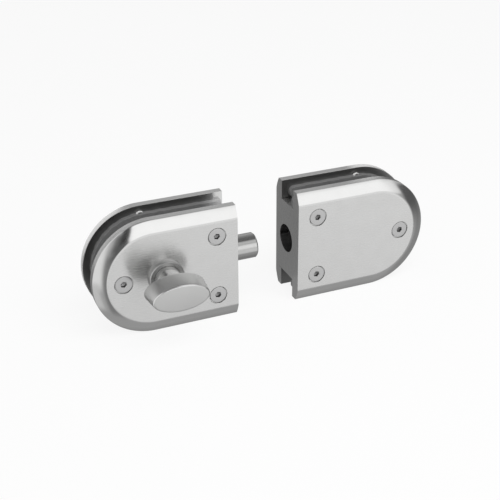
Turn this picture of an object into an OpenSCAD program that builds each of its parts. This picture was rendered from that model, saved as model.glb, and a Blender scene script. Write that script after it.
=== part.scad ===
// Glass to glass lock: a lock unit with a thumbturn and a strike unit, each clamped on a glass edge.
// X runs along the doors, the front faces -Y and Z is up.
// The origin is on the bolt's axis, in the straight end face of the lock unit.
// Every piece is drawn as seen from the front, with its depth along +z, and front_view() stands it up.

/* [Units] */
// Height of both units
body_h = 70; // [66:1:80]
// Length of each unit, from its straight end to the middle of its round end
body_l = 85; // [82:1:95]
// Clear distance between the straight ends of the two units
door_gap = 38; // [24:1:60]
// Free width between the two plates of a unit
plate_gap = 16.2; // [16:0.1:18]
// Thickness of the glass that the pads clamp
glass_t = 10; // [8:1:12]

/* [Plates] */
// Thickness of each cover plate
plate_t = 7.75; // [7.5:0.25:9]
// Thickness of a plate's square rim, below its bevel
rim_t = 4.45; // [3:0.05:5]
// Width of the bevel, seen from the front
bevel_w = 7.25; // [4:0.25:9]
// How far the bevel bulges out of a straight slope
bevel_bulge = 0.25; // [0:0.05:0.5]
// Width of the bare rim between the plate's outline and its pad
pad_inset = 4.3; // [2:0.1:5]
// Distance from the plate's outline to the block that fills the glass cut-out
block_inset = 11.7; // [11:0.1:12]

/* [Bolt] */
// Diameter of the bolt
bolt_d = 15.1; // [14:0.1:15.2]
// How far the bolt's axis lies behind the middle of the gap between the plates
bolt_set_back = 1.5; // [1.2:0.1:1.5]
// How far the bolt stands out of the lock when it is thrown
bolt_reach = 17.1; // [16:0.1:20]
// Diameter of the hole in the strike
strike_hole_d = 17.26; // [16:0.02:17.4]
// Depth of the hole in the strike
strike_hole_depth = 20; // [18:1:25]

/* [Thumbturn] */
// Distance from the straight end of the lock to the thumbturn's axis
turn_x = 43.5; // [43:0.1:45]
// Length of the knob's oval at its back
knob_l = 35; // [30:0.5:40]
// Width of the knob's oval at its back
knob_w = 18.4; // [17:0.1:22]
// Thickness of the knob's oval
knob_t = 12.5; // [10:0.5:15]
// How much narrower and shorter the oval is at its front
knob_taper = 2.5; // [0:0.1:4]
// Clear distance between the plate and the knob's oval
knob_stand_off = 14.5; // [12:0.5:16]
// Diameter of the knob's neck
neck_d = 15.6; // [14:0.1:16]
// Diameter of the collar round the neck
collar_d = 20.6; // [19:0.1:22]
// Height of the collar
collar_h = 2.6; // [2.4:0.1:5]

/* [Screws] */
// Thread diameter of the clamping screws
screw_d = 5; // [4:0.5:6]
// Diameter of the screws' countersunk heads
screw_head_d = 10.2; // [9:0.1:12]
// Size of the hex socket across its flats
socket_af = 3; // [2:0.5:4]
// Distance of the two end screws from the straight end
end_screw_x = 12.5; // [11:0.5:14]
// Height of the two end screws above and below the middle
end_screw_z = 18.75; // [18:0.25:19]
// Distance of the third screw from the straight end
round_screw_x = 68; // [67:0.5:69]

/* [Hidden] */
$fn = 96;
eps = 0.01;
steel = "silver";
bright_steel = "gainsboro";
rubber = "dimgray";

// Round end and depths, all measured from the bolt's axis
end_r = body_h / 2;
arc_x = end_r - body_l;
front_in = plate_gap / 2 + bolt_set_back;
front_out = front_in + plate_t;
back_in = plate_gap / 2 - bolt_set_back;
seat_d = front_in - back_in;
seat_fit = 0.15;
pad_t = (plate_gap - glass_t) / 2;
pad_block_gap = 0.5;
front_pad_end = 0.2;
front_pad_corner = 2.8;
lock_back_pad_end = 1.6;
lock_back_pad_corner = 0.4;
strike_back_pad_end = 4.5;
strike_back_pad_corner = 2.8;
nib_r = 1;
nib_h = 0.7;
nib_line = end_r - pad_inset - nib_h / 2;
lock_nib_turn = 127;
lock_nib = [arc_x + nib_line * cos(lock_nib_turn), nib_line * sin(lock_nib_turn)];
strike_nib_x = 43;
strike_nib = [-strike_nib_x, nib_line];
lap = 1;

// Screws
screw_clear = 0.2;
screw_sink = 0.12;
head_rim = 0.35;
head_edge = 0.15;
head_groove = 0.35;
groove_d = 0.8;
socket_d = 2;
socket_turn = 15;
socket_mouth = 0.3;
screw_end_gap = 0.25;
tap_fit = 0.02;
plate_skin = 0.6;

// Bolt, its tail and its crank
bolt_r = bolt_d / 2;
bolt_fit = 0.06;
bolt_chamfer = 0.8;
bolt_end_gap = 0.5;
groove_r = bolt_r - 0.3;
groove_w = 1;
throw = 17;
crank_r = throw / sqrt(2);
pin_r = 2;
pin_end_gap = 0.3;
slot_r = pin_r + 0.5;
slot_low = 8.2;
slot_high = 12.3;
tail_top = slot_high - 0.6;
tail_x = crank_r * cos(45) - turn_x;
tail_r = 5.5;
tail_front = 2.1;
tail_back = -4;
tail_bar_h = 12;
flat_x = -10;
rod_end_x = -28;
disc_r = 15.4;
disc_back = 2.6;
disc_t = 4;
cavity_front = 7.6;
cavity_gap = 0.5;
cavity_corner = 3;
cavity_left = 59.4;
cavity_right = 24.5;
cavity_low = -8;
cavity_high = 18.2;

// Thumbturn
spindle_r = 4;
spindle_edge = 0.5;
oval_low = front_out + knob_stand_off;
spindle_cover = 4.3;
spindle_front = oval_low + knob_t - spindle_cover;
spindle_af = 6;
bush_r = 6;
bush_stand = 0.6;
run_fit = 0.05;
press_fit = 0.02;
neck_depth = 1;
neck_gap = 0.35;
recess_gap = 0.3;
collar_edge = 0.4;
knob_edge = 0.5;
grub_d = 4;
grub_l = 3.5;
grub_flat = 0.3;
grub_af = 2;
grub_socket_d = 1.5;
grub_z = (front_out + collar_h + oval_low) / 2;
washer_t = 0.4;
washer_in = 4.4;
washer_out = 7.4;

// Shared shapes
module front_view() {
  rotate([90, 0, 0]) children();
}

module at_strike() {
  translate([door_gap, 0, 0]) mirror([1, 0, 0]) children();
}

module rod(radius, low, high) {
  translate([0, 0, low]) cylinder(r = radius, h = high - low);
}

module d_shape(inset, end_x = 0) {
  radius = end_r - inset;
  translate([arc_x, 0]) circle(r = radius);
  translate([arc_x, -radius]) square([end_x - arc_x, 2 * radius]);
}

// Half section of a plate: the square rim, then the bevel as a shallow arc
function bevel_point(t) = [
  end_r - bevel_w * t + bevel_bulge * 4 * t * (1 - t) * sin(bevel_slope),
  rim_t + (plate_t - rim_t) * t + bevel_bulge * 4 * t * (1 - t) * cos(bevel_slope)
];
bevel_slope = atan2(plate_t - rim_t, bevel_w);
bevel_steps = 6;
bevel_curve = [for (i = [0 : bevel_steps]) bevel_point(i / bevel_steps)];
half_section = concat([[0, 0], [end_r, 0]], bevel_curve, [[0, plate_t]]);
bevel_curve_mirrored = [for (i = [bevel_steps : -1 : 0]) [-bevel_point(i / bevel_steps)[0],
  bevel_point(i / bevel_steps)[1]]];
full_section = concat([[-end_r, 0], [end_r, 0]], bevel_curve, bevel_curve_mirrored);

// One cover plate, its inner face at z = 0 and its bevelled face up
module cover_plate() {
  translate([arc_x, 0, 0]) rotate([0, 0, 90]) rotate_extrude(angle = 180) polygon(half_section);
  translate([arc_x, 0, 0]) rotate([90, 0, 90]) linear_extrude(-arc_x) polygon(full_section);
}

module block(clearance, low, high) {
  translate([0, 0, low]) linear_extrude(high - low) d_shape(block_inset - clearance);
}

module screw_places() {
  for (side = [-1, 1]) translate([-end_screw_x, side * end_screw_z, 0]) children();
  translate([-round_screw_x, 0, 0]) children();
}

// Room for one screw in the front plate: a clearance hole, the cone and the groove round the head
module screw_room() {
  head_r = screw_head_d / 2;
  cone_top = front_out - screw_sink - head_rim;
  rod(screw_d / 2 + screw_clear, -front_in - eps, front_out);
  translate([0, 0, cone_top - (head_r - screw_d / 2)])
    cylinder(r1 = screw_d / 2 + eps, r2 = head_r + eps, h = head_r - screw_d / 2);
  rod(head_r + head_groove, front_out - groove_d, front_out + eps);
}

module screw() {
  head_r = screw_head_d / 2;
  top = front_out - screw_sink;
  cone_top = top - head_rim;
  cone_low = cone_top - (head_r - screw_d / 2);
  color(bright_steel) difference() {
    union() {
      rod(screw_d / 2, -back_in - plate_t + plate_skin + screw_end_gap, cone_low);
      translate([0, 0, cone_low]) cylinder(r1 = screw_d / 2, r2 = head_r, h = cone_top - cone_low);
      rod(head_r, cone_top, top - head_edge);
      translate([0, 0, top - head_edge]) cylinder(r1 = head_r, r2 = head_r - head_edge, h = head_edge);
    }
    rotate([0, 0, socket_turn]) translate([0, 0, top - socket_d])
      cylinder(r = socket_af / sqrt(3), h = socket_d + eps, $fn = 6);
    translate([0, 0, top - socket_mouth])
      cylinder(r1 = socket_af / 2, r2 = socket_af / 2 + socket_mouth, h = socket_mouth + eps);
  }
}

// Front plate and block in one piece, the same for both units before their own cuts
module plate_and_block() {
  difference() {
    union() {
      translate([0, 0, front_in]) cover_plate();
      block(0, -front_in, front_in);
    }
    screw_places() screw_room();
  }
}

// Back plate with the seat that takes the block and three tapped blind holes
module back_plate() {
  color(steel) difference() {
    translate([0, 0, -back_in]) mirror([0, 0, 1]) cover_plate();
    block(seat_fit, -front_in, -back_in + eps);
    translate([-eps, block_inset - seat_fit - end_r, -front_in])
      cube([lap, body_h - 2 * (block_inset - seat_fit), seat_d + eps]);
    screw_places() rod(screw_d / 2 + tap_fit, -back_in - plate_t + plate_skin, -front_in + eps);
  }
}

// Pad outline: a D ring open at the straight end, with rounded ends on its two arms and one nib
module pad_shape(end_in, corner_r, nib) {
  outer_r = end_r - pad_inset;
  inner_r = end_r - block_inset + pad_block_gap;
  difference() {
    union() {
      d_shape(pad_inset, -end_in - corner_r);
      for (side = [-1, 1]) translate([-end_in - corner_r, side * (outer_r + inner_r) / 2])
        pad_arm_end(outer_r - inner_r, corner_r);
      translate(nib) circle(r = nib_r);
    }
    translate([arc_x, 0]) circle(r = inner_r);
    translate([arc_x, -inner_r]) square([-arc_x + lap, 2 * inner_r]);
  }
}

module pad_arm_end(width, corner_r) {
  rise = width / 2 - corner_r;
  for (side = [-1, 1]) translate([0, side * rise]) circle(r = corner_r);
  translate([-lap, -rise]) square([lap + corner_r, 2 * rise]);
  translate([-lap, -width / 2]) square([lap, width]);
}

module front_pad(nib) {
  color(rubber) translate([0, 0, front_in - pad_t]) linear_extrude(pad_t)
    pad_shape(front_pad_end, front_pad_corner, nib);
}

module back_pad(end_in, corner_r, nib) {
  color(rubber) translate([0, 0, -back_in]) linear_extrude(pad_t) pad_shape(end_in, corner_r, nib);
}

// Lock unit
module mechanism_cavity() {
  width = cavity_left - cavity_right;
  corner = cavity_corner;
  translate([0, 0, -front_in - eps]) linear_extrude(front_in + tail_front + cavity_gap) {
    translate([-cavity_left, cavity_low + corner]) square([width, cavity_high - cavity_low - 2 * corner]);
    translate([-cavity_left + corner, cavity_low]) square([width - 2 * corner, cavity_high - cavity_low]);
    for (x = [-cavity_left + corner, -cavity_right - corner])
      for (y = [cavity_low + corner, cavity_high - corner]) translate([x, y]) circle(r = corner);
  }
  translate([-turn_x, 0, 0]) rod(disc_r + cavity_gap, -front_in - eps, cavity_front);
}

module lock_body() {
  front_view() color(steel) difference() {
    plate_and_block();
    rotate([0, -90, 0]) rod(bolt_r + bolt_fit, -eps, -rod_end_x + bolt_end_gap);
    mechanism_cavity();
    translate([-turn_x, 0, 0]) rod(bush_r, cavity_front - eps, front_out + eps);
  }
}

module lock_back_plate() {
  front_view() back_plate();
}

module lock_front_pad() {
  front_view() front_pad(lock_nib);
}

module lock_back_pad() {
  front_view() back_pad(lock_back_pad_end, lock_back_pad_corner, lock_nib);
}

module lock_screw_upper() {
  front_view() translate([-end_screw_x, end_screw_z, 0]) screw();
}

module lock_screw_lower() {
  front_view() translate([-end_screw_x, -end_screw_z, 0]) screw();
}

module lock_screw_round() {
  front_view() translate([-round_screw_x, 0, 0]) screw();
}

// Collar: a low ring round the bush, with a recess in which the knob's neck turns
module collar() {
  wall_r = collar_d / 2;
  recess_r = neck_d / 2 + recess_gap;
  hole_r = spindle_r + recess_gap;
  web = collar_h - neck_depth - neck_gap;
  outline = [
    [bush_r, 0], [wall_r, 0], [wall_r, collar_h - collar_edge], [wall_r - collar_edge, collar_h],
    [recess_r, collar_h], [recess_r, web], [hole_r, web],
    [hole_r, bush_stand + run_fit], [bush_r, bush_stand + run_fit]
  ];
  front_view() color(bright_steel) translate([-turn_x, 0, front_out]) rotate_extrude() polygon(outline);
}

module spindle_bush() {
  front_view() color("tan") translate([-turn_x, 0, 0]) difference() {
    rod(bush_r, cavity_front, front_out + bush_stand);
    rod(spindle_r + run_fit, cavity_front - eps, front_out + bush_stand + eps);
  }
}

// Dished washer between the block and the crank disc, which keeps the thumbturn where it is left
module spring_washer() {
  rise = cavity_front - disc_back - disc_t - run_fit;
  front_view() color(bright_steel) translate([-turn_x, 0, cavity_front]) rotate_extrude() polygon([
    [washer_out, 0], [washer_in, washer_t - rise], [washer_in, -rise], [washer_out, -washer_t]
  ]);
}

// Thumbturn: the oval tapers to the front, where its edge is rounded in two steps
module oval_slice(shrink, height) {
  translate([0, 0, height]) linear_extrude(eps)
    scale([knob_l - shrink, knob_w - shrink]) circle(d = 1, $fn = 80);
}

module knob() {
  neck_low = front_out + collar_h - neck_depth;
  edge_in = knob_edge * (1 - sqrt(0.5));
  front_view() color(steel) translate([-turn_x, 0, 0]) difference() {
    union() {
      rod(neck_d / 2, neck_low, oval_low + lap);
      hull() {
        oval_slice(2 * knob_edge / 3, oval_low);
        oval_slice(0, oval_low + knob_edge / 3);
        oval_slice(knob_taper, oval_low + knob_t - knob_edge);
        oval_slice(knob_taper + 2 * edge_in, oval_low + knob_t - edge_in);
        oval_slice(knob_taper + 2 * knob_edge, oval_low + knob_t - eps);
      }
    }
    rod(spindle_r + press_fit, neck_low - eps, spindle_front + recess_gap);
    translate([0, 0, grub_z]) rotate([90, 0, 0]) rod(grub_d / 2 + tap_fit, 0, neck_d);
  }
}

module knob_grub_screw() {
  grub_end = spindle_r - grub_flat + grub_l;
  front_view() color(bright_steel) translate([-turn_x, 0, grub_z]) rotate([90, 0, 0]) difference() {
    rod(grub_d / 2, spindle_r - grub_flat, grub_end);
    translate([0, 0, grub_end - grub_socket_d])
      cylinder(r = grub_af / sqrt(3), h = grub_socket_d + eps, $fn = 6);
  }
}

module spindle() {
  disc_front = disc_back + disc_t;
  notch_w = grub_d + 2 * recess_gap;
  front_view() color(bright_steel) translate([-turn_x, 0, 0]) difference() {
    union() {
      rod(spindle_r, disc_front, spindle_front - spindle_edge);
      translate([0, 0, spindle_front - spindle_edge])
        cylinder(r1 = spindle_r, r2 = spindle_r - spindle_edge, h = spindle_edge);
      translate([-spindle_af / 2, -spindle_af / 2, disc_back]) cube([spindle_af, spindle_af, disc_t + eps]);
    }
    translate([-spindle_r, -spindle_r - lap, grub_z - notch_w / 2])
      cube([2 * spindle_r, lap + grub_flat, notch_w]);
  }
}

module crank_disc() {
  square_af = spindle_af + 2 * tap_fit;
  front_view() color(bright_steel) translate([-turn_x, 0, 0]) difference() {
    rod(disc_r, disc_back, disc_back + disc_t);
    translate([-square_af / 2, -square_af / 2, disc_back - eps])
      cube([square_af, square_af, disc_t + 2 * eps]);
    rotate([0, 0, 45]) translate([crank_r, 0, 0]) rod(pin_r, disc_back - eps, disc_back + disc_t + eps);
  }
}

module crank_pin() {
  front_view() color(bright_steel) translate([-turn_x, 0, 0]) rotate([0, 0, 45])
    translate([crank_r, 0, 0]) rod(pin_r, tail_back + pin_end_gap, disc_back + disc_t);
}

// Bolt: a round nose, a flat behind it that clears the crank disc, and a slotted tail for the pin
module bolt() {
  nose_end = bolt_reach - bolt_chamfer;
  front_view() color(bright_steel) difference() {
    union() {
      rotate([0, 90, 0]) rod(bolt_r, rod_end_x, nose_end);
      translate([nose_end, 0, 0]) rotate([0, 90, 0])
        cylinder(r1 = bolt_r, r2 = bolt_r - bolt_chamfer, h = bolt_chamfer);
      translate([0, 0, tail_back]) linear_extrude(tail_front - tail_back) {
        translate([tail_x - tail_r, -tail_bar_h / 2])
          square([rod_end_x + lap - tail_x + tail_r, tail_bar_h]);
        translate([tail_x - tail_r, 0]) square([2 * tail_r, tail_top]);
        translate([tail_x, tail_top]) circle(r = tail_r);
      }
    }
    translate([rod_end_x - lap, -bolt_r - lap, tail_front])
      cube([flat_x - rod_end_x + lap, 2 * (bolt_r + lap), bolt_r]);
    rotate([0, 90, 0]) difference() {
      rod(bolt_r + lap, -groove_w, 0);
      rod(groove_r, -groove_w - eps, eps);
    }
    translate([0, 0, tail_back - eps]) linear_extrude(tail_front - tail_back + 2 * eps) {
      for (y = [slot_low, slot_high]) translate([tail_x, y]) circle(r = slot_r);
      translate([tail_x - slot_r, slot_low]) square([2 * slot_r, slot_high - slot_low]);
    }
  }
}

// Strike unit: the same clamp, with a blind hole for the bolt instead of the mechanism
module strike_body() {
  front_view() color(steel) at_strike() difference() {
    plate_and_block();
    rotate([0, -90, 0]) rod(strike_hole_d / 2, -eps, strike_hole_depth);
  }
}

module strike_back_plate() {
  front_view() at_strike() back_plate();
}

module strike_front_pad() {
  front_view() at_strike() front_pad(strike_nib);
}

module strike_back_pad() {
  front_view() at_strike() back_pad(strike_back_pad_end, strike_back_pad_corner, strike_nib);
}

module strike_screw_upper() {
  front_view() at_strike() translate([-end_screw_x, end_screw_z, 0]) screw();
}

module strike_screw_lower() {
  front_view() at_strike() translate([-end_screw_x, -end_screw_z, 0]) screw();
}

module strike_screw_round() {
  front_view() at_strike() translate([-round_screw_x, 0, 0]) screw();
}

lock_body();
lock_back_plate();
lock_front_pad();
lock_back_pad();
lock_screw_upper();
lock_screw_lower();
lock_screw_round();
collar();
spindle_bush();
spring_washer();
knob();
knob_grub_screw();
spindle();
crank_disc();
crank_pin();
bolt();
strike_body();
strike_back_plate();
strike_front_pad();
strike_back_pad();
strike_screw_upper();
strike_screw_lower();
strike_screw_round();
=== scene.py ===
import math
import bpy
import bmesh
from mathutils import Matrix, Vector


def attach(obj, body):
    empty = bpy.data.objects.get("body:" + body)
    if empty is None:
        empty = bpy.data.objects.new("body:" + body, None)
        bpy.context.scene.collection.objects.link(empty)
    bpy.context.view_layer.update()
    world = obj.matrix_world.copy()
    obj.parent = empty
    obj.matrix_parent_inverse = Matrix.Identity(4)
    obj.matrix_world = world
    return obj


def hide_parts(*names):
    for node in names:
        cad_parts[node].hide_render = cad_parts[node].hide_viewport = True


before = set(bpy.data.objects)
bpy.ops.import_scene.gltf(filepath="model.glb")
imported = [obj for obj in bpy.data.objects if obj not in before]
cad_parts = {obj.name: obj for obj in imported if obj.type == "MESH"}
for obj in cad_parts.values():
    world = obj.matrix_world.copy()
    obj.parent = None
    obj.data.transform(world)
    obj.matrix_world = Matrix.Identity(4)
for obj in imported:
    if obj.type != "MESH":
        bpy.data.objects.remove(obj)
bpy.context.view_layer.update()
print("frame loaded:", len(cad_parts), "nodes")

mm = 0.001
weldWithin = 0.001 * mm    # corners closer than this become one
reach = 1.0                # mm that a cutting shape goes past the face it opens

# Driving sizes of both units, in mm, as in the part: the bolt's axis is y = 0, z = 0
unit = dict(
    height=70.0,
    length=85.0,
    doorGap=38.0,          # between the two straight ends
    frontIn=-9.6,          # inner face of the front plate
    backIn=6.6,            # inner face of the back plate
    plateThick=7.75,
    rimThick=4.45,         # square rim below the bevel
    rimEdge=0.2,           # its edges are broken this much
    bevelWidth=7.25,
    bevelBulge=0.25,
    bevelSteps=14,
    bevelBlend=0.8,        # each way from the line where the bevel meets the flat
    blendSteps=10,
    blockInset=11.7,       # outline to block
    seatGap=0.15,          # between the block and its seat in the back plate
    edgeSoft=0.18,         # small radius on the sharp edges
)
endRadius = unit["height"] / 2
arcX = endRadius - unit["length"]
frontOut = unit["frontIn"] - unit["plateThick"]
backOut = unit["backIn"] + unit["plateThick"]


# small helpers

def unitX(x, strike):
    return unit["doorGap"] - x if strike else x


def linkMesh(name, bm):
    bmesh.ops.recalc_face_normals(bm, faces=bm.faces)
    mesh = bpy.data.meshes.new(name)
    bm.to_mesh(mesh)
    bm.free()
    obj = bpy.data.objects.new(name, mesh)
    bpy.context.scene.collection.objects.link(obj)
    return obj


def applyModifiers(obj):
    graph = bpy.context.evaluated_depsgraph_get()
    mesh = bpy.data.meshes.new_from_object(obj.evaluated_get(graph))
    obj.modifiers.clear()
    oldMesh = obj.data
    obj.data = mesh
    mesh.name = obj.name
    bpy.data.meshes.remove(oldMesh)


def combine(obj, others, operation):
    for other in others:
        cut = obj.modifiers.new("shape", "BOOLEAN")
        cut.operation = operation
        cut.solver = "EXACT"
        cut.object = other
        applyModifiers(obj)
    for other in others:
        bpy.data.objects.remove(other)


def softEdges(obj, width, segments=2, angle=32):
    bevel = obj.modifiers.new("edges", "BEVEL")
    bevel.width = width * mm
    bevel.segments = segments
    bevel.limit_method = "ANGLE"
    bevel.angle_limit = math.radians(angle)
    bevel.harden_normals = False
    applyModifiers(obj)


def smoothShade(obj, angle=30):
    # edges that turn by less than the angle shade as one surface
    bm = bmesh.new()
    bm.from_mesh(obj.data)
    bmesh.ops.remove_doubles(bm, verts=bm.verts, dist=weldWithin)
    bmesh.ops.dissolve_degenerate(bm, dist=weldWithin, edges=bm.edges)
    for face in bm.faces:
        face.smooth = True
    limit = math.radians(angle)
    for edge in bm.edges:
        edge.smooth = len(edge.link_faces) == 2 and edge.calc_face_angle(0) < limit
    bm.to_mesh(obj.data)
    bm.free()
    weigh = obj.modifiers.new("normals", "WEIGHTED_NORMAL")
    weigh.keep_sharp = True
    weigh.weight = 80


def lathe(name, profile, centre, axis, segments=96, start=0.0):
    # the profile is pairs of radius and distance along the axis, in mm
    turn = Vector((0, 0, 1)).rotation_difference(Vector(axis)).to_matrix()
    bm = bmesh.new()
    rings = []
    for radius, along in profile:
        if radius == 0:
            rings.append([bm.verts.new((Vector(centre) + turn @ Vector((0, 0, along))) * mm)])
            continue
        ring = []
        for step in range(segments):
            angle = start + 2 * math.pi * step / segments
            spot = turn @ Vector((radius * math.cos(angle), radius * math.sin(angle), along))
            ring.append(bm.verts.new((Vector(centre) + spot) * mm))
        rings.append(ring)
    closeRings(bm, rings)
    return linkMesh(name, bm)


def joinRings(bm, low, high):
    count = max(len(low), len(high))
    for step in range(count):
        after = (step + 1) % count
        if len(low) == 1:
            bm.faces.new((low[0], high[step], high[after]))
        elif len(high) == 1:
            bm.faces.new((low[step], low[after], high[0]))
        else:
            bm.faces.new((low[step], low[after], high[after], high[step]))


def closeRings(bm, rings):
    # faces from each ring to the next, and one over each open end
    for low, high in zip(rings, rings[1:]):
        joinRings(bm, low, high)
    for end in (rings[0], rings[-1]):
        if len(end) > 1:
            bm.faces.new(end)


def arcPoints(centre, radius, fromAngle, toAngle, steps):
    spots = []
    for step in range(steps + 1):
        angle = math.radians(fromAngle + (toAngle - fromAngle) * step / steps)
        spots.append((centre[0] + radius * math.cos(angle), centre[1] + radius * math.sin(angle)))
    return spots


def dOutline(inset, endX=0.0, steps=72):
    radius = endRadius - inset
    arc = arcPoints((arcX, 0), radius, 270, 90, steps)
    return [(endX, -radius)] + arc + [(endX, radius)]


# plates and blocks

def plateProfile():
    # pairs of inset and height over the inner face, from the inner face round to the flat front
    rim, thick, width = unit["rimThick"], unit["plateThick"], unit["bevelWidth"]
    slope = math.atan2(thick - rim, width)
    edge, blend = unit["rimEdge"], unit["bevelBlend"]
    points = [
        (edge, 0.0), (edge * 0.3, edge * 0.3), (0.0, edge),
        (0.0, rim - edge), (edge * 0.2, rim - edge * 0.2),
    ]

    def bevelPoint(t):
        lift = unit["bevelBulge"] * 4 * t * (1 - t)
        return width * t - lift * math.sin(slope), rim + (thick - rim) * t + lift * math.cos(slope)

    # the first step is short, for a crisp line over the rim; the bevel stops where the blend starts
    lastShare = 1 - blend / width
    for step in [0.35] + list(range(1, unit["bevelSteps"] + 1)):
        points.append(bevelPoint(lastShare * step / unit["bevelSteps"]))
    start = points[-1]
    for step in range(1, unit["blendSteps"] + 1):
        t = step / unit["blendSteps"]
        near, middle, far = (1 - t) ** 2, 2 * t * (1 - t), t ** 2
        points.append((
            near * start[0] + middle * width + far * (width + blend),
            near * start[1] + (middle + far) * thick))
    return points


def flatRing(bm, outline, y, strike):
    return [bm.verts.new((unitX(x, strike) * mm, y * mm, z * mm)) for x, z in outline]


def plateMesh(name, innerY, outward, strike):
    bm = bmesh.new()
    rings = []
    for inset, height in plateProfile():
        rings.append(flatRing(bm, dOutline(inset), innerY + outward * height, strike))
    closeRings(bm, rings)
    return linkMesh(name, bm)


def prism(name, outline, lowY, highY, strike=False):
    bm = bmesh.new()
    closeRings(bm, [flatRing(bm, outline, y, strike) for y in (lowY, highY)])
    return linkMesh(name, bm)


screw = dict(
    thread=5.0,
    headWide=10.2,
    sink=0.12,             # head below the plate's face
    headRim=0.35,
    headEdge=0.2,          # small radius round the head
    headFlat=0.7,          # the head's face falls from this far inside its edge
    groove=0.35,           # ring gap round the head
    grooveDeep=0.8,
    grooveEdge=0.12,
    coneGap=0.02,          # between the head's cone and its countersink
    shankGap=0.2,
    fillet=0.25,           # between cone and shank
    shankEnd=30.0,
    holeEnd=28.5,
    socket=3.0,            # across the flats
    socketDeep=2.0,
    socketPoint=0.9,       # cone at the bottom of the socket
    socketEdge=0.3,
    edgeSoft=0.07,
    turn=15,               # degrees that the socket stands round the screw
    endX=12.5,
    endZ=18.75,
    roundX=68.0,
)
screwPlaces = dict(
    upper=(-screw["endX"], screw["endZ"]),
    lower=(-screw["endX"], -screw["endZ"]),
    round=(-screw["roundX"], 0.0),
)


def screwRoom(name, place, strike):
    head, shank = screw["headWide"] / 2, screw["thread"] / 2
    coneTop = screw["sink"] + screw["headRim"]
    wall, edge = head + screw["groove"], screw["grooveEdge"]
    deep, gap = screw["grooveDeep"], screw["shankGap"]
    profile = [
        (wall + edge, -reach), (wall + edge, 0.0), (wall, edge), (wall, deep),
        (head - deep + coneTop + screw["coneGap"], deep),
        (shank + gap, coneTop + head - shank - gap), (shank + gap, screw["holeEnd"]),
    ]
    centre = (unitX(place[0], strike), frontOut, place[1])
    return lathe(name, profile, centre, (0, 1, 0), 72)


def unitBody(name, strike):
    body = plateMesh(name, unit["frontIn"], -1, strike)
    block = prism("block", dOutline(unit["blockInset"]), unit["frontIn"] - 0.5, -unit["frontIn"], strike)
    combine(body, [block], "UNION")
    rooms = [screwRoom("room", place, strike) for place in screwPlaces.values()]
    combine(body, rooms, "DIFFERENCE")
    return body


def backPlate(name, strike):
    plate = plateMesh(name, unit["backIn"], 1, strike)
    outline = dOutline(unit["blockInset"] - unit["seatGap"], reach)
    seat = prism("seat", outline, unit["backIn"] - reach, -unit["frontIn"], strike)
    combine(plate, [seat], "DIFFERENCE")
    return plate


bolt = dict(radius=7.55, gap=0.06)      # the gap is between the bolt and its bore
strikeHole = dict(radius=8.63, deep=20.0)

# the room for the bolt's tail and its crank, inside the lock's block
mechanism = dict(
    boreDeep=28.5,
    turnX=-43.5,
    crankWide=31.8,
    crankFront=-7.6,
    bushWide=12.04,
    tailX=(-59.4, -24.5),
    tailZ=(-8.0, 18.2),
    tailFront=-2.6,
    corner=3.0,
)


def mechanismRooms():
    blockBack = -unit["frontIn"] + 0.5
    centre, front = (mechanism["turnX"], 0, 0), mechanism["crankFront"]
    crank, bush = mechanism["crankWide"] / 2, mechanism["bushWide"] / 2
    (left, right), (low, high), corner = mechanism["tailX"], mechanism["tailZ"], mechanism["corner"]
    outline = arcPoints((right - corner, high - corner), corner, 90, 0, 8)
    outline += arcPoints((right - corner, low + corner), corner, 0, -90, 8)
    outline += arcPoints((left + corner, low + corner), corner, 270, 180, 8)
    outline += arcPoints((left + corner, high - corner), corner, 180, 90, 8)
    return [
        lathe("crankRoom", [(crank, front), (crank, blockBack)], centre, (0, 1, 0)),
        lathe("bushRoom", [(bush, frontOut - reach), (bush, front + 0.5)], centre, (0, 1, 0)),
        prism("tailRoom", outline, mechanism["tailFront"], blockBack),
    ]


lockBody = unitBody("lockBody", False)
boreWide = bolt["radius"] + bolt["gap"]
bore = lathe("bore", [(boreWide, -mechanism["boreDeep"]), (boreWide, reach)], (0, 0, 0), (1, 0, 0))
combine(lockBody, [bore], "DIFFERENCE")
softEdges(lockBody, unit["edgeSoft"])
combine(lockBody, mechanismRooms(), "DIFFERENCE")
smoothShade(lockBody)

strikeBody = unitBody("strikeBody", True)
hole = lathe(
    "hole",
    [(strikeHole["radius"], -reach), (strikeHole["radius"], strikeHole["deep"])],
    (unit["doorGap"], 0, 0), (1, 0, 0),
)
combine(strikeBody, [hole], "DIFFERENCE")
softEdges(strikeBody, unit["edgeSoft"])
smoothShade(strikeBody)

lockBack = backPlate("lockBack", False)
strikeBack = backPlate("strikeBack", True)
for plate in (lockBack, strikeBack):
    softEdges(plate, unit["edgeSoft"])
    smoothShade(plate)
print("plates and blocks made")


# screws

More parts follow.
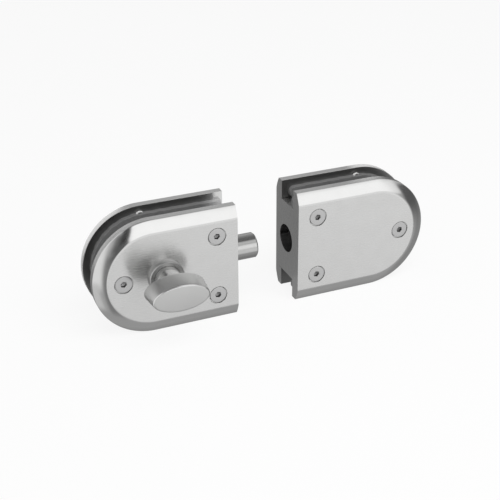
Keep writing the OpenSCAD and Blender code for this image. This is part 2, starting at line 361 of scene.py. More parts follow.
def screwPiece(name, place, strike):
    head, shank = screw["headWide"] / 2, screw["thread"] / 2
    top, edge, fillet, end = screw["sink"], screw["headEdge"], screw["fillet"], screw["shankEnd"]
    coneTop = top + screw["headRim"]
    coneEnd = coneTop + head - shank
    profile = [
        (0.0, top), (head - screw["headFlat"], top), (head - edge, top + 0.03), (head, top + edge),
        (head, coneTop), (shank + fillet, coneEnd - fillet), (shank, coneEnd + 0.1),
        (shank, end), (0.0, end),
    ]
    centre = (unitX(place[0], strike), frontOut, place[1])
    piece = lathe(name, profile, centre, (0, 1, 0), 72)
    # the cutter's chamfer starts a little over the face, so that it leaves no thin skin
    chamferTop, chamfer, deep = top - 0.02, screw["socketEdge"], screw["socketDeep"]
    hexRadius = screw["socket"] / math.sqrt(3)
    hexProfile = [
        (hexRadius + chamfer, top - 0.5), (hexRadius + chamfer, chamferTop),
        (hexRadius, chamferTop + chamfer), (hexRadius, deep), (0.0, deep + screw["socketPoint"]),
    ]
    socket = lathe("socket", hexProfile, centre, (0, 1, 0), 6, math.radians(screw["turn"]))
    combine(piece, [socket], "DIFFERENCE")
    softEdges(piece, screw["edgeSoft"], 2, 28)
    smoothShade(piece, 25)
    return piece


screws = {}
for unitName, strike in (("lock", False), ("strike", True)):
    for placeName, place in screwPlaces.items():
        piece = screwPiece(unitName + "Screw" + placeName.title(), place, strike)
        screws[unitName + "_screw_" + placeName] = piece
print("screws made")


# pads: a ring of rubber sheet between each plate and the glass

pads = dict(
    inset=4.3,
    innerInset=11.2,
    thick=3.1,
    frontEnd=0.2,          # distance from the straight end
    frontCorner=2.8,
    lockBackEnd=1.6,
    lockBackCorner=0.4,
    strikeBackEnd=4.5,
    strikeBackCorner=2.8,
    edge=0.35,             # rounding of the cut edges
    waviness=0.12,         # the cut edge isn't quite straight
    # the curl is a bit of film; its pale colour is a painted highlight
    lockCurlX=-50.4,       # a small pale curl of film stands on each back pad: its X from the straight end
    strikeCurlX=-48.6,
    curlDeep=1.0,
    curlThick=0.72,
    # the curl's middle line: along X and over the pad's edge
    curlPath=((-1.9, -1.0), (-1.5, -0.1), (-0.9, 0.55), (0.1, 0.9), (1.2, 0.9), (2.0, 0.35)),
)
padOuter = endRadius - pads["inset"]
padInner = endRadius - pads["innerInset"]


def padOutline(endIn, corner):
    endX = -endIn - corner
    straight = range(1, 50)
    outline = arcPoints((arcX, 0), padOuter, 270, 90, 180)
    for step in straight:
        outline.append((arcX + (endX - arcX) * step / 50, padOuter))
    outline += arcPoints((endX, padOuter - corner), corner, 90, 0, 8)
    outline += arcPoints((endX, padInner + corner), corner, 0, -90, 8)
    outline += arcPoints((arcX, 0), padInner, 90, 270, 64)
    outline += arcPoints((endX, -padInner - corner), corner, 90, 0, 8)
    outline += arcPoints((endX, -padOuter + corner), corner, 0, -90, 8)
    for step in reversed(straight):
        outline.append((arcX + (endX - arcX) * step / 50, -padOuter))
    return outline


def padWobble(x, z):
    along = math.atan2(z, x - arcX) * 30
    return pads["waviness"] * (math.sin(along * 0.9) + 0.6 * math.sin(along * 2.3 + 1.2))


def padCurl(bm, x, y, strike):
    # a bent strip with a square section, thinner toward its free end
    path = pads["curlPath"]
    rings = []
    for step, (along, high) in enumerate(path):
        before, after = path[max(step - 1, 0)], path[min(step + 1, len(path) - 1)]
        way = Vector((after[0] - before[0], after[1] - before[1])).normalized()
        half = pads["curlThick"] / 2 * (1 - 0.5 * step / (len(path) - 1))
        ring = []
        for side, deep in ((1, -1), (1, 1), (-1, 1), (-1, -1)):
            px = unitX(x, strike) + along - way.y * half * side
            pz = padOuter + high + way.x * half * side
            ring.append(bm.verts.new((px * mm, (y + deep * pads["curlDeep"] / 2) * mm, pz * mm)))
        rings.append(ring)
    closeRings(bm, rings)


def padPiece(name, innerY, outward, endIn, corner, strike, curlX=None):
    # rings run from one face, over a rounded edge, to the other
    thick, edge = pads["thick"], pads["edge"]
    profile = [
        (0.0, 0.0), (0.0, edge), (0.0, thick - edge), (edge * 0.3, thick - edge * 0.3), (edge, thick),
    ]
    outline = padOutline(endIn, corner)
    count = len(outline)
    normals = []
    for step in range(count):
        before, after = outline[step - 1], outline[(step + 1) % count]
        along = Vector((after[0] - before[0], after[1] - before[1])).normalized()
        normals.append((along.y, -along.x))     # inward
    bm = bmesh.new()
    rings = []
    for inset, height in profile:
        ring = []
        for (x, z), (nx, nz) in zip(outline, normals):
            distance = math.hypot(x - arcX, z)
            push = 0.0
            if distance > padOuter - 0.5 or abs(z) > padOuter - 0.5:
                push = padWobble(x, z)
            px, pz = x - nx * push + nx * inset, z - nz * push + nz * inset
            ring.append(bm.verts.new((unitX(px, strike) * mm, (innerY + outward * height) * mm, pz * mm)))
        rings.append(ring)
    closeRings(bm, rings)
    if curlX is not None:
        padCurl(bm, curlX, innerY + outward * thick / 3, strike)
    piece = linkMesh(name, bm)
    smoothShade(piece, 40)
    return piece


lockFrontPad = padPiece("lockFrontPad", unit["frontIn"], 1, pads["frontEnd"], pads["frontCorner"], False)
lockBackPad = padPiece(
    "lockBackPad", unit["backIn"], -1,
    pads["lockBackEnd"], pads["lockBackCorner"], False, pads["lockCurlX"],
)
strikeFrontPad = padPiece("strikeFrontPad", unit["frontIn"], 1, pads["frontEnd"], pads["frontCorner"], True)
strikeBackPad = padPiece(
    "strikeBackPad", unit["backIn"], -1,
    pads["strikeBackEnd"], pads["strikeBackCorner"], True, pads["strikeCurlX"],
)
print("pads made")


# thumbturn

knob = dict(
    axisX=-43.5,
    long=35.0,             # oval at the back
    wide=18.4,
    taper=2.5,             # how much smaller the oval is at its front
    thick=12.5,
    standOff=14.5,
    neckWide=15.6,
    neckDeep=1.0,          # how far the neck goes into the collar
    neckEdge=0.3,
    neckFlare=0.5,         # the neck widens where it meets the oval
    neckRoot=2.0,          # how far it runs on inside the oval
    collarWide=20.6,
    collarHigh=2.6,
    collarEdge=0.5,
    collarHole=8.8,
    collarPlay=0.06,       # round the neck
    backEdge=((0.9, 0.0), (0.25, 0.08), (0.0, 0.35)),      # rounded back edge: oval's loss and height
    edge=0.12,             # small radius over the band
    band=(0.60, 0.54),     # width and depth of the sloping band round the front face
    crown=0.14,            # how far the middle of the front face stands out
)


def ovalRing(bm, long, wide, y, steps=128):
    ring = []
    for step in range(steps):
        angle = 2 * math.pi * step / steps
        ring.append(bm.verts.new((
            (knob["axisX"] + long / 2 * math.cos(angle)) * mm, y * mm, wide / 2 * math.sin(angle) * mm)))
    return ring


def knobPiece(name):
    backY = frontOut - knob["standOff"]
    frontY = backY - knob["thick"]
    edge, thick = knob["edge"], knob["thick"]
    # each slice is what the oval loses across, and its height over the back
    slices = list(knob["backEdge"])
    for step in range(1, 8):
        slices.append((knob["taper"] * step / 8, thick * step / 8))
    # a narrow sloping band runs round the front face, with a small radius on its outer edge
    bandWide, bandDeep = knob["band"]
    corner = math.pi / 2 - math.atan2(bandDeep, bandWide)
    for step in range(7):
        turn = corner * step / 6
        slices.append((knob["taper"] + 2 * edge * (1 - math.cos(turn)),
                       thick - bandDeep - edge * (math.sin(corner) - math.sin(turn))))
    # share of the band's width and what is left of its depth: it runs softly into the face
    last = slices[-1][0]
    for share, left in ((0.5, 0.5), (0.85, 0.15), (1.1, 0.03), (1.4, 0.0)):
        slices.append((last + 2 * bandWide * share, thick - bandDeep * left))
    bm = bmesh.new()
    rings = [ovalRing(bm, knob["long"] - less, knob["wide"] - less, backY - high) for less, high in slices]
    faceLong, faceWide = knob["long"] - slices[-1][0], knob["wide"] - slices[-1][0]
    for share in [step / 10 for step in range(9, 0, -1)] + [0.03]:
        y = frontY - knob["crown"] * (1 - share ** 2)
        rings.append(ovalRing(bm, faceLong * share, faceWide * share, y))
    closeRings(bm, rings)
    oval = linkMesh(name, bm)
    low, top, radius = knob["collarHigh"] - knob["neckDeep"], knob["standOff"], knob["neckWide"] / 2
    edge, flare, root = knob["neckEdge"], knob["neckFlare"], knob["neckRoot"]
    profile = [
        (0.0, low), (radius - edge, low), (radius, low + edge), (radius, top - flare),
        (radius + flare * 0.24, top - flare * 0.3), (radius + flare, top + 0.02),
        (radius + flare, top + root), (0.0, top + root),
    ]
    neck = lathe("neck", profile, (knob["axisX"], frontOut, 0), (0, -1, 0))
    combine(oval, [neck], "UNION")
    smoothShade(oval, 35)
    return oval


def collarPiece(name):
    # a ring with a square section, its front edge rounded and the neck's recess sunk in its front
    wall, high, edge = knob["collarWide"] / 2, knob["collarHigh"], knob["collarEdge"]
    recess, inner = knob["neckWide"] / 2 + knob["collarPlay"], knob["collarHole"] / 2
    floor = high - knob["neckDeep"] - 0.35
    profile = [
        (inner, 0.0), (wall, 0.0), (wall, high - edge), (wall - edge * 0.1, high - edge * 0.85),
        (wall - edge * 0.85, high - edge * 0.1), (wall - edge, high),
        (recess + 0.12, high), (recess, high - 0.1), (recess, floor), (inner, floor),
    ]
    bm = bmesh.new()
    rings = []
    for radius, along in profile:
        ring = []
        for step in range(96):
            angle = 2 * math.pi * step / 96
            ring.append(bm.verts.new((
                (knob["axisX"] + radius * math.cos(angle)) * mm, (frontOut - along) * mm,
                radius * math.sin(angle) * mm)))
        rings.append(ring)
    for low, high in zip(rings, rings[1:] + rings[:1]):
        joinRings(bm, low, high)
    piece = linkMesh(name, bm)
    smoothShade(piece, 35)
    return piece


knobOval = knobPiece("knobOval")
collar = collarPiece("collarRing")
print("thumbturn made")


# materials

def newMaterial(name):
    material = bpy.data.materials.new(name)
    material.use_nodes = True
    nodes = material.node_tree.nodes
    links = material.node_tree.links
    shader = nodes["Principled BSDF"]
    return material, nodes, links, shader


def mapRange(nodes, links, source, low, high, outLow, outHigh):
    box = nodes.new("ShaderNodeMapRange")
    box.inputs["From Min"].default_value = low
    box.inputs["From Max"].default_value = high
    box.inputs["To Min"].default_value = outLow
    box.inputs["To Max"].default_value = outHigh
    links.new(source, box.inputs["Value"])
    return box.outputs["Result"]


def addMath(nodes, links, operation, first, second=None):
    box = nodes.new("ShaderNodeMath")
    box.operation = operation
    for slot, value in enumerate((first, second)):
        if isinstance(value, (int, float)):
            box.inputs[slot].default_value = value
        elif value is not None:
            links.new(value, box.inputs[slot])
    return box.outputs[0]


def softStep(nodes, links, source, low, high):
    box = nodes.new("ShaderNodeMapRange")
    box.interpolation_type = "SMOOTHSTEP"
    box.inputs["From Min"].default_value = low
    box.inputs["From Max"].default_value = high
    links.new(source, box.inputs["Value"])
    return box.outputs["Result"]


satin = dict(
    colour=(0.70, 0.70, 0.695),
    rough=0.27,
    roughSwing=0.012,
    anisotropy=0.75,
    streakFine=8.0,        # brush lines per mm across the grain
    streakLong=0.06,       # and along it
    bump=0.004,
    bumpHigh=0.1,          # mm
    cloud=0.12,            # patches per mm
    mottle=(0.98, 1.015),  # slow change of tone over the face
)
grainSpan = (0.3, 0.7)     # where most of the fine noise lies
cloudSpan = (0.25, 0.75)   # and of the slow one
bright = dict(satin, rough=0.12, anisotropy=0.5)    # bevels
# the strike's hole is rougher, and its darker colour paints the shade inside it
drilledShade = dict(satin, colour=(0.38, 0.38, 0.38), rough=0.4, anisotropy=0.0, bump=0.1)    # strike's hole
# the faces round the glass: painted light at the lock's straight end, painted shade from there on and in
# the strike
polished = dict(satin, rough=0.40, roughSwing=0.01, anisotropy=0.0, bump=0.005)
innerShadeAndLight = dict(
    litRough=0.20,
    # pairs of X in mm and tone: the painted shade in the lock's slot, the painted light at its straight
    # end, and the painted shade in the strike's slot
    tone=((-85, 0.34), (-14, 0.35), (-6.3, 0.5), (-5.7, 0.98), (19, 0.98), (20, 0.42), (123, 0.28)),
)
turned = dict(satin, rough=0.18, anisotropy=0.4)
knobSideFinish = dict(turned, colour=(0.62, 0.62, 0.615), rough=0.30)
neckFinish = dict(turned, colour=(0.60, 0.60, 0.595), rough=0.12)
# the curls' pale colour paints the highlight on the film
pale = dict(turned, colour=(0.88, 0.88, 0.87), rough=0.45, anisotropy=0.0)      # the pads' curls
screwFinish = dict(satin, colour=(0.60, 0.60, 0.60), rough=0.34, anisotropy=0.0)
# a darker copy of the screws' finish paints the shade inside the hex sockets
socketShadeFinish = dict(screwFinish, colour=(0.36, 0.36, 0.36), rough=0.3)
knobFaceFinish = dict(satin, colour=(0.60, 0.60, 0.595), rough=0.26)
collarFinish = dict(turned, colour=(0.50, 0.50, 0.495), rough=0.40, anisotropy=0.0)
boltFinish = dict(
    satin, colour=(0.57, 0.57, 0.565), rough=0.21, roughSwing=0.03, anisotropy=0.95, bump=0.03,
)


def brushed(name, useBrushMap=True, settings=satin, axis=None, metal=1.0):
    # the grain follows the piece's brush map, or X, or goes round the axis that is named
    material, nodes, links, shader = newMaterial(name)
    shader.inputs["Metallic"].default_value = metal
    shader.inputs["Anisotropic"].default_value = settings["anisotropy"]
    shader.inputs["Anisotropic Rotation"].default_value = 0.25      # light spreads across the grain
    if useBrushMap:
        coords = nodes.new("ShaderNodeUVMap")
        coords.uv_map = "brush"
        source = coords.outputs["UV"]
        tangent = nodes.new("ShaderNodeTangent")
        tangent.direction_type = "UV_MAP"
        tangent.uv_map = "brush"
        links.new(tangent.outputs["Tangent"], shader.inputs["Tangent"])
        scale = (settings["streakLong"], settings["streakFine"], 1.0)
    else:
        coords = nodes.new("ShaderNodeTexCoord")
        source = coords.outputs["Object"]
        scale = (settings["streakLong"] / mm, settings["streakFine"] / mm, settings["streakFine"] / mm)
        if axis:
            tangent = nodes.new("ShaderNodeTangent")
            tangent.direction_type = "RADIAL"
            tangent.axis = axis
            links.new(tangent.outputs["Tangent"], shader.inputs["Tangent"])
            scale = (settings["streakFine"] / mm, settings["streakLong"] / mm, settings["streakLong"] / mm)
    stretch = nodes.new("ShaderNodeMapping")
    stretch.inputs["Scale"].default_value = scale
    links.new(source, stretch.inputs["Vector"])
    grain = nodes.new("ShaderNodeTexNoise")
    grain.inputs["Scale"].default_value = 1.0
    grain.inputs["Detail"].default_value = 3.0
    grain.inputs["Roughness"].default_value = 0.6
    links.new(stretch.outputs["Vector"], grain.inputs["Vector"])
    cloud = nodes.new("ShaderNodeTexNoise")
    cloud.inputs["Scale"].default_value = settings["cloud"] if useBrushMap else settings["cloud"] / mm
    cloud.inputs["Detail"].default_value = 2.0
    links.new(source, cloud.inputs["Vector"])
    rough = mapRange(nodes, links, grain.outputs["Fac"], *grainSpan,
                     settings["rough"] - settings["roughSwing"], settings["rough"] + settings["roughSwing"])
    links.new(rough, shader.inputs["Roughness"])
    tone = nodes.new("ShaderNodeMix")
    tone.data_type = "RGBA"
    tone.blend_type = "MULTIPLY"
    tone.inputs["Factor"].default_value = 1.0
    tone.inputs[6].default_value = settings["colour"] + (1.0,)
    shade = mapRange(nodes, links, cloud.outputs["Fac"], *cloudSpan, *settings["mottle"])
    links.new(shade, tone.inputs[7])
    links.new(tone.outputs[2], shader.inputs["Base Color"])
    bump = nodes.new("ShaderNodeBump")
    bump.inputs["Strength"].default_value = settings["bump"]
    bump.inputs["Distance"].default_value = settings["bumpHigh"] * mm
    links.new(grain.outputs["Fac"], bump.inputs["Height"])
    links.new(bump.outputs["Normal"], shader.inputs["Normal"])
    return material


rubber = dict(
    colour=(0.18, 0.18, 0.18),
    rough=0.32,
    gloss=1.0,
    speckle=2.2,           # grains per mm
    speckleTone=(0.75, 1.2),
    bump=0.25,
    bumpHigh=0.05,
    # painted light: the lock's pads are lighter toward the straight end: from X, to X, times the tone
    endLit=(-15.0, -1.0, 2.7),
)


def rubberMaterial():
    material, nodes, links, shader = newMaterial("padRubber")
    coords = nodes.new("ShaderNodeTexCoord")
    speckle = nodes.new("ShaderNodeTexNoise")
    speckle.inputs["Scale"].default_value = rubber["speckle"] / mm
    speckle.inputs["Detail"].default_value = 4.0
    links.new(coords.outputs["Object"], speckle.inputs["Vector"])
    ramp = nodes.new("ShaderNodeValToRGB")
    for stop, place, times in zip(ramp.color_ramp.elements, grainSpan, rubber["speckleTone"]):
        stop.position = place
        stop.color = tuple(part * times for part in rubber["colour"]) + (1.0,)
    links.new(speckle.outputs["Fac"], ramp.inputs["Fac"])
    parts = nodes.new("ShaderNodeSeparateXYZ")
    links.new(coords.outputs["Object"], parts.inputs[0])
    litFrom, litTo, litTone = rubber["endLit"]
    # painted light near the lock's straight end, none on the strike
    nearEnd = softStep(nodes, links, parts.outputs["X"], litFrom * mm, litTo * mm)
    gap = unit["doorGap"] * mm
    beforeStrike = softStep(nodes, links, parts.outputs["X"], gap * 0.6, gap * 0.4)
    nearEnd = addMath(nodes, links, "MULTIPLY", nearEnd, beforeStrike)
    tone = nodes.new("ShaderNodeMix")
    tone.data_type = "RGBA"
    tone.blend_type = "MULTIPLY"
    tone.inputs["Factor"].default_value = 1.0
    links.new(ramp.outputs["Color"], tone.inputs[6])
    links.new(mapRange(nodes, links, nearEnd, 0.0, 1.0, 1.0, litTone), tone.inputs[7])
    links.new(tone.outputs[2], shader.inputs["Base Color"])
    shader.inputs["Roughness"].default_value = rubber["rough"]
    shader.inputs["Specular IOR Level"].default_value = rubber["gloss"]
    bump = nodes.new("ShaderNodeBump")
    bump.inputs["Strength"].default_value = rubber["bump"]
    bump.inputs["Distance"].default_value = rubber["bumpHigh"] * mm
    links.new(speckle.outputs["Fac"], bump.inputs["Height"])
    links.new(bump.outputs["Normal"], shader.inputs["Normal"])
    return material


def shadeAndLightInside(material):
    # a ramp along X multiplies the tone with painted shade deep in the slots and painted light at the
    # lock's straight end; only its lightest part is smooth
    nodes, links = material.node_tree.nodes, material.node_tree.links
    shader = nodes["Principled BSDF"]
    coords = nodes.new("ShaderNodeTexCoord")
    parts = nodes.new("ShaderNodeSeparateXYZ")
    links.new(coords.outputs["Object"], parts.inputs[0])
    tones = innerShadeAndLight["tone"]
    first, last = tones[0][0], tones[-1][0]
    along = mapRange(nodes, links, parts.outputs["X"], first * mm, last * mm, 0.0, 1.0)
    ramp = nodes.new("ShaderNodeValToRGB")
    stops = ramp.color_ramp.elements
    for stop, (x, tone) in enumerate(tones):
        share = (x - first) / (last - first)
        if stop > 1:
            stops.new(share)
        stops[stop].position = share
        stops[stop].color = (tone, tone, tone, 1.0)
    links.new(along, ramp.inputs["Fac"])
    mix = next(node for node in nodes if node.bl_idname == "ShaderNodeMix")
    shade = mix.inputs[7].links[0].from_socket
    links.new(addMath(nodes, links, "MULTIPLY", shade, ramp.outputs["Color"]), mix.inputs[7])
    litTone = max(tone for x, tone in tones)
    rough = mapRange(nodes, links, ramp.outputs["Color"], litTone * 0.9, litTone,
                     polished["rough"], innerShadeAndLight["litRough"])
    links.new(rough, shader.inputs["Roughness"])


square = 0.98              # how squarely a face looks along an axis to count as flat
endWithin = 0.3            # mm from the straight end, to count as the end face


def brushMap(obj):
    # U runs along the grain and V across it, both in mm
    mesh = obj.data
    layer = mesh.uv_layers.new(name="brush")
    for face in mesh.polygons:
        spots = [mesh.vertices[mesh.loops[i].vertex_index].co / mm for i in face.loop_indices]
        centre = face.center / mm
        strike = centre.x > unit["doorGap"] / 2
        localArc, away = unitX(arcX, strike), 1 if strike else -1
        flat = abs(face.normal.y) > square
        end = abs(face.normal.x) > square and abs(centre.x - unitX(0, strike)) < endWithin
        roundEnd = (centre.x - localArc) * away > 0
        for i, p in zip(face.loop_indices, spots):
            if flat:
                uv = (p.x, p.z)
            elif end:
                uv = (p.z, p.y)
            elif roundEnd:      # the bevel and the rim, round the arc
                turn = math.atan2(p.z, (p.x - localArc) * away)
                uv = (turn * endRadius, p.y * 1.5 + math.hypot(p.x - localArc, p.z))
            else:               # and along the straight edges
                uv = (p.x, p.y * 1.5 + abs(p.z))
            layer.data[i].uv = uv


def wear(obj, *materials):
    obj.data.materials.clear()
    for material in materials:
        obj.data.materials.append(material)


def socketFace(piece, face):
    # the screw's axis passes through the middle of its head
    middle = sum((vertex.co for vertex in piece.data.vertices), Vector()) / len(piece.data.vertices)
    away = math.hypot(face.center.x - middle.x, face.center.z - middle.z)
    return away < (screw["socket"] / math.sqrt(3) + 0.2) * mm and face.normal.y < 0.9


def finishFaces(obj):
    # slots: 0 satin on the flat outer faces, rims and straight ends, 1 bright on the bevels,
    # 2 polished on the inner faces, with painted light and shade along X, 3 drilled in the bolt's hole, its
    # darker colour a painted shade
    near = 0.2
    for face in obj.data.polygons:
        centre, normal = face.center / mm, face.normal
        flat = abs(normal.y) > 0.995
        outer = flat and (centre.y < frontOut + near or centre.y > backOut - near)
        end = abs(normal.x) > square and min(abs(centre.x), abs(centre.x - unit["doorGap"])) < endWithin
        inner = flat and min(abs(centre.y - unit["frontIn"]), abs(centre.y - unit["backIn"])) < near
        bore = math.hypot(centre.y, centre.z) < strikeHole["radius"] + 0.1 and not (end or flat)
        rim = abs(normal.y) < 0.3
        face.material_index = 3 if bore else 2 if inner else 0 if outer or end or rim else 1


satinSteel = brushed("satinSteel")
brightSteel = brushed("brightSteel", settings=bright)
polishedSteel = brushed("polishedSteel", settings=polished)
shadeAndLightInside(polishedSteel)
drilledShadeSteel = brushed("drilledShadeSteel", settings=drilledShade)
knobFaceSteel = brushed("knobFaceSteel", False, knobFaceFinish)
collarSteel = brushed("collarSteel", False, collarFinish)
boltSteel = brushed("boltSteel", False, boltFinish, "X")
satinTurned = brushed("satinTurned", False, turned)
knobSideSteel = brushed("knobSideSteel", False, knobSideFinish)
neckSteel = brushed("neckSteel", False, neckFinish)
glintFilm = brushed("glintFilm", False, pale, metal=0.0)
screwSteel = brushed("screwSteel", False, screwFinish)
socketShadeSteel = brushed("socketShadeSteel", False, socketShadeFinish)
padRubber = rubberMaterial()

for piece, node in ((lockBody, "lock_body"), (lockBack, "lock_back_plate"),
                    (strikeBody, "strike_body"), (strikeBack, "strike_back_plate")):
    brushMap(piece)
    wear(piece, satinSteel, brightSteel, polishedSteel, drilledShadeSteel)
    finishFaces(piece)
    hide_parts(node)
    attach(piece, "units")

for piece, node in ((lockFrontPad, "lock_front_pad"), (lockBackPad, "lock_back_pad"),
                    (strikeFrontPad, "strike_front_pad"), (strikeBackPad, "strike_back_pad")):
    wear(piece, padRubber, glintFilm)
    for face in piece.data.polygons:    # only the curl stands over the wavy edge
        face.material_index = int(face.center.z / mm > padOuter + pads["waviness"] * 1.7)
    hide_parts(node)
    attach(piece, "units")

for node, piece in screws.items():
    wear(piece, screwSteel, socketShadeSteel)
    # faces inside the socket take the darker copy, a painted shade
    for face in piece.data.polygons:
        sunk = face.center.y / mm > frontOut + screw["sink"] + 0.1
        face.material_index = int(sunk and socketFace(piece, face))
    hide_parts(node)
    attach(piece, "units")

wear(collar, collarSteel)
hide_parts("collar")
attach(collar, "units")
wear(knobOval, knobSideSteel, knobFaceSteel, neckSteel, satinTurned)
for face in knobOval.data.polygons:
    onNeck = face.center.y / mm > frontOut - knob["standOff"] + 0.1
    front = face.normal.y < -0.4
    band = front and face.normal.y > -0.995
    face.material_index = 2 if onNeck else 3 if band else 1 if front else 0
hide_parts("knob")
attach(knobOval, "thumbturn")

for node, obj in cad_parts.items():
    if node == "bolt":
        wear(obj, boltSteel)
    elif node in ("spindle_bush", "spring_washer", "knob_grub_screw", "spindle", "crank_disc", "crank_pin"):
        wear(obj, screwSteel)
print("materials made")


# studio

camera = dict(
    target=(13.95, -1.5, -2.44),
    azimuth=-22.48,
    elevation=27.26,
    roll=-0.46,
    distance=611.6,
    lens=74.376,
    sensor=36,
    clip=(0.01, 50),
)


def makeCamera():
    azimuth, elevation, roll = (math.radians(camera[key]) for key in ("azimuth", "elevation", "roll"))
    back = Vector((math.sin(azimuth) * math.cos(elevation), -math.cos(azimuth) * math.cos(elevation),
                   math.sin(elevation)))
    right = Vector((math.cos(azimuth), math.sin(azimuth), 0))
    up = back.cross(right)
    rolledRight = right * math.cos(roll) + up * math.sin(roll)
    rolledUp = up * math.cos(roll) - right * math.sin(roll)
    data = bpy.data.cameras.new("camera")
    data.lens = camera["lens"]
    data.sensor_width = camera["sensor"]
    data.clip_start, data.clip_end = camera["clip"]
    obj = bpy.data.objects.new("camera", data)
    turn = Matrix((rolledRight, rolledUp, back)).transposed().to_4x4()
    place = (Vector(camera["target"]) + back * camera["distance"]) * mm
    obj.matrix_world = Matrix.Translation(place) @ turn
    bpy.context.scene.collection.objects.link(obj)
    bpy.context.scene.camera = obj


studio = dict(
    base=0.45,             # what the metal sees where no patch is named
    floorSize=1.5,         # half its width, in metres
    floorColour=0.9,
    floorRough=0.9,
    floorGlow=0.88,        # share of plain white in the floor, the rest takes the shadow
    # a painted shadow on the floor under the units, seen only by the metal: its soft edge and brightness
    shadowSoft=5.0,          # soft edge of the dim ground that the metal sees under the units, in mm
    shadowGlow=0.3,          # and how bright that ground is
)

# Soft boxes and dark cards round the set: azimuth and elevation spans in degrees (0, 0 is straight in
# front), the width of the soft edge (west, east, low, high), and how bright each is. Later ones lie
# over earlier ones.
patches = dict(
    behindLow=dict(azimuth=(110, 250), elevation=(-90, -8), edge=(10, 10, 5, 30), strength=0.24),
    overhead=dict(azimuth=(-180, 180), elevation=(18, 90), edge=(1, 1, 14, 1), strength=0.58),
    ceiling=dict(azimuth=(-180, 180), elevation=(40, 90), edge=(1, 1, 6, 1), strength=0.36),
    zenith=dict(azimuth=(-180, 180), elevation=(64, 90), edge=(1, 1, 10, 1), strength=0.17),
    behindLeft=dict(azimuth=(-168, -148), elevation=(-20, 22), edge=(10, 6, 5, 10), strength=0.20),
    behindRight=dict(azimuth=(128, 148), elevation=(-20, 18), edge=(15, 8, 10, 12), strength=0.13),
    sideLeft=dict(azimuth=(-140, -128), elevation=(-4, 34), edge=(5, 12, 10, 10), strength=0.90),
    rightLow=dict(azimuth=(80, 150), elevation=(-90, -16), edge=(10, 20, 1, 12), strength=0.30),
    floorFront=dict(azimuth=(-14, 38), elevation=(-27, 0), edge=(8, 12, 17, 6), strength=0.95),
    under=dict(azimuth=(-180, 180), elevation=(-90, -58), edge=(1, 1, 1, 12), strength=0.40),
    leftBox=dict(azimuth=(-80, -35), elevation=(-22, 34), edge=(20, 9, 14, 10), strength=0.95),
    leftFloor=dict(azimuth=(-80, -42), elevation=(-46, -28), edge=(20, 10, 10, 8), strength=0.70),
    leftHigh=dict(azimuth=(-60, -30), elevation=(28, 50), edge=(10, 12, 10, 8), strength=0.95),
    leftLow=dict(azimuth=(-25, -12), elevation=(-50, -4), edge=(5, 14, 10, 8), strength=0.24),
    sideFront=dict(azimuth=(34, 50), elevation=(3, 20), edge=(6, 8, 3, 8), strength=0.97),
    frontBox=dict(azimuth=(-5, 24), elevation=(6, 33), edge=(2, 8, 6, 9), strength=1.27),
    frontRight=dict(azimuth=(20, 34), elevation=(6, 28), edge=(3, 18, 6, 8), strength=1.25),
    highBox=dict(azimuth=(28, 50), elevation=(36, 60), edge=(12, 15, 10, 10), strength=0.95),
    darkWide=dict(azimuth=(-19, -6.5), elevation=(5, 22), edge=(8, 2, 8, 6), strength=0.17),
    darkCard=dict(azimuth=(-13, -6.5), elevation=(6, 36), edge=(5, 2, 10, 5), strength=0.05),
    darkLow=dict(azimuth=(-14, -5), elevation=(-4, 6), edge=(11, 3, 10, 6), strength=0.12),
    rightCard=dict(azimuth=(57, 74), elevation=(-6, 9), edge=(4, 20, 28, 8), strength=0.12),
)


def makeWorld():
    world = bpy.data.worlds.new("studioWorld")
    bpy.context.scene.world = world
    world.use_nodes = True
    nodes, links = world.node_tree.nodes, world.node_tree.links
    nodes.clear()
    coords = nodes.new("ShaderNodeTexCoord")
    parts = nodes.new("ShaderNodeSeparateXYZ")
    links.new(coords.outputs["Generated"], parts.inputs[0])
    forward = addMath(nodes, links, "MULTIPLY", parts.outputs["Y"], -1.0)
    turn = addMath(nodes, links, "ARCTAN2", parts.outputs["X"], forward)
    azimuth = addMath(nodes, links, "DEGREES", turn)
    elevation = addMath(nodes, links, "DEGREES", addMath(nodes, links, "ARCSINE", parts.outputs["Z"]))
    level = None
    for patch in patches.values():
        (west, east), (low, high) = patch["azimuth"], patch["elevation"]
        softWest, softEast, softLow, softHigh = patch["edge"]
        span = addMath(nodes, links, "WRAP", azimuth, 360.0 + west - softWest)
        nodes[-1].inputs[2].default_value = west - softWest
        across = addMath(nodes, links, "MULTIPLY", softStep(nodes, links, span, west - softWest, west),
                         softStep(nodes, links, span, east + softEast, east))
        upward = addMath(nodes, links, "MULTIPLY", softStep(nodes, links, elevation, low - softLow, low),
                         softStep(nodes, links, elevation, high + softHigh, high))
        share = addMath(nodes, links, "MULTIPLY", across, upward)
        blend = nodes.new("ShaderNodeMix")
        links.new(share, blend.inputs["Factor"])
        if level is None:
            blend.inputs[2].default_value = studio["base"]
        else:
            links.new(level, blend.inputs[2])
        blend.inputs[3].default_value = patch["strength"]
        level = blend.outputs[0]
    around = nodes.new("ShaderNodeBackground")
    links.new(level, around.inputs["Strength"])
    seen = nodes.new("ShaderNodeBackground")
    seen.inputs["Strength"].default_value = 1.0
    for item in (around, seen):
        item.inputs["Color"].default_value = (1, 1, 1, 1)
    path = nodes.new("ShaderNodeLightPath")
    mix = nodes.new("ShaderNodeMixShader")
    links.new(path.outputs["Is Camera Ray"], mix.inputs["Fac"])
    links.new(around.outputs[0], mix.inputs[1])
    links.new(seen.outputs[0], mix.inputs[2])
    output = nodes.new("ShaderNodeOutputWorld")
    links.new(mix.outputs[0], output.inputs["Surface"])


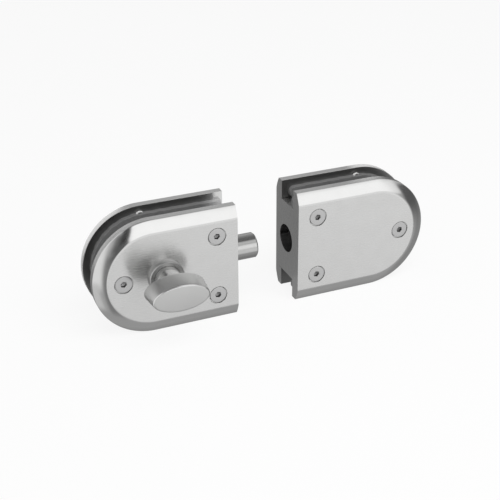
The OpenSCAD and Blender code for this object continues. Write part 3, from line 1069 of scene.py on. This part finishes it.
def makeFloor():
    bm = bmesh.new()
    size, z = studio["floorSize"], -endRadius * mm
    corners = ((-1, -1), (1, -1), (1, 1), (-1, 1))
    bm.faces.new([bm.verts.new((x * size, y * size, z)) for x, y in corners])
    floor = linkMesh("studioFloor", bm)
    material, nodes, links, shader = newMaterial("floorWhite")
    shader.inputs["Base Color"].default_value = (studio["floorColour"],) * 3 + (1,)
    shader.inputs["Roughness"].default_value = studio["floorRough"]
    shader.inputs["Specular IOR Level"].default_value = 0.0
    path = nodes.new("ShaderNodeLightPath")
    glow = nodes.new("ShaderNodeEmission")
    glow.inputs["Strength"].default_value = 1.0
    part = addMath(nodes, links, "MULTIPLY", path.outputs["Is Camera Ray"], studio["floorGlow"])
    mix = nodes.new("ShaderNodeMixShader")
    links.new(part, mix.inputs["Fac"])
    links.new(shader.outputs[0], mix.inputs[1])
    links.new(glow.outputs[0], mix.inputs[2])
    # the metal sees the studio's own low patches through the floor, and a painted shadow, a dim ground,
    # right under the units
    coords = nodes.new("ShaderNodeTexCoord")
    parts = nodes.new("ShaderNodeSeparateXYZ")
    links.new(coords.outputs["Object"], parts.inputs[0])
    soft = studio["shadowSoft"] * mm
    halfGap, thick = unit["doorGap"] / 2 * mm, (backOut - frontOut) / 2 * mm
    along = addMath(nodes, links, "SUBTRACT", parts.outputs["X"], halfGap)
    along = addMath(nodes, links, "ABSOLUTE", along)
    across = addMath(nodes, links, "SUBTRACT", parts.outputs["Y"], (frontOut + backOut) / 2 * mm)
    across = addMath(nodes, links, "ABSOLUTE", across)
    far = halfGap + unit["length"] * mm
    under = softStep(nodes, links, across, thick, thick - soft)
    under = addMath(nodes, links, "MULTIPLY", under, softStep(nodes, links, along, far, far - soft))
    clear = addMath(nodes, links, "SUBTRACT", 1.0, under)
    through = nodes.new("ShaderNodeBsdfTransparent")
    # this emission paints the floor's shadow under the units
    shade = nodes.new("ShaderNodeEmission")
    shade.inputs["Strength"].default_value = studio["shadowGlow"]
    mirrored = nodes.new("ShaderNodeMixShader")
    links.new(clear, mirrored.inputs["Fac"])
    links.new(shade.outputs[0], mirrored.inputs[1])
    links.new(through.outputs[0], mirrored.inputs[2])
    whole = nodes.new("ShaderNodeMixShader")
    links.new(path.outputs["Is Glossy Ray"], whole.inputs["Fac"])
    links.new(mix.outputs[0], whole.inputs[1])
    links.new(mirrored.outputs[0], whole.inputs[2])
    links.new(whole.outputs[0], nodes["Material Output"].inputs["Surface"])
    wear(floor, material)


# The lamp over the set gives the floor its shadow; the metal doesn't mirror it. Sizes in metres
topLamp = dict(
    aim=(0.02, 0.0, 0.0),
    azimuth=10,
    elevation=60,
    distance=0.9,
    wide=0.9,
    high=0.5,
    power=5.0,
)


def makeTopLamp():
    data = bpy.data.lights.new("topBox", "AREA")
    data.shape = "RECTANGLE"
    data.size, data.size_y = topLamp["wide"], topLamp["high"]
    data.energy = topLamp["power"]
    obj = bpy.data.objects.new("topBox", data)
    a, e = math.radians(topLamp["azimuth"]), math.radians(topLamp["elevation"])
    away = Vector((math.sin(a) * math.cos(e), -math.cos(a) * math.cos(e), math.sin(e)))
    obj.location = Vector(topLamp["aim"]) + away * topLamp["distance"]
    obj.rotation_mode = "QUATERNION"
    obj.rotation_quaternion = away.to_track_quat("Z", "Y")
    obj.visible_glossy = False
    bpy.context.scene.collection.objects.link(obj)


# Small discs of light close behind the round ends: only the rims of the back plates mirror them
discs = dict(
    left=dict(centre=(-72, 40, 9), wide=58, high=82, strength=0.95),
    right=dict(centre=(114, 40, 30), wide=36, high=50, strength=0.9),
)


def rimDisc(name, disc):
    data = bpy.data.lights.new(name, "AREA")
    data.shape = "ELLIPSE"
    data.size = disc["wide"] * mm
    data.size_y = disc["high"] * mm
    area = data.size * data.size_y * math.pi / 4
    data.energy = disc["strength"] * math.pi * area     # the power that makes the disc this bright
    obj = bpy.data.objects.new(name, data)
    obj.location = Vector(disc["centre"]) * mm
    obj.rotation_euler = (math.radians(-90), 0, 0)      # shines toward the front
    obj.visible_camera = False
    obj.visible_diffuse = False
    bpy.context.scene.collection.objects.link(obj)


makeCamera()
makeWorld()
makeFloor()
makeTopLamp()
rimDisc("leftDisc", discs["left"])
rimDisc("rightDisc", discs["right"])
print("studio made")

bpy.context.scene.view_settings.view_transform = "Standard"
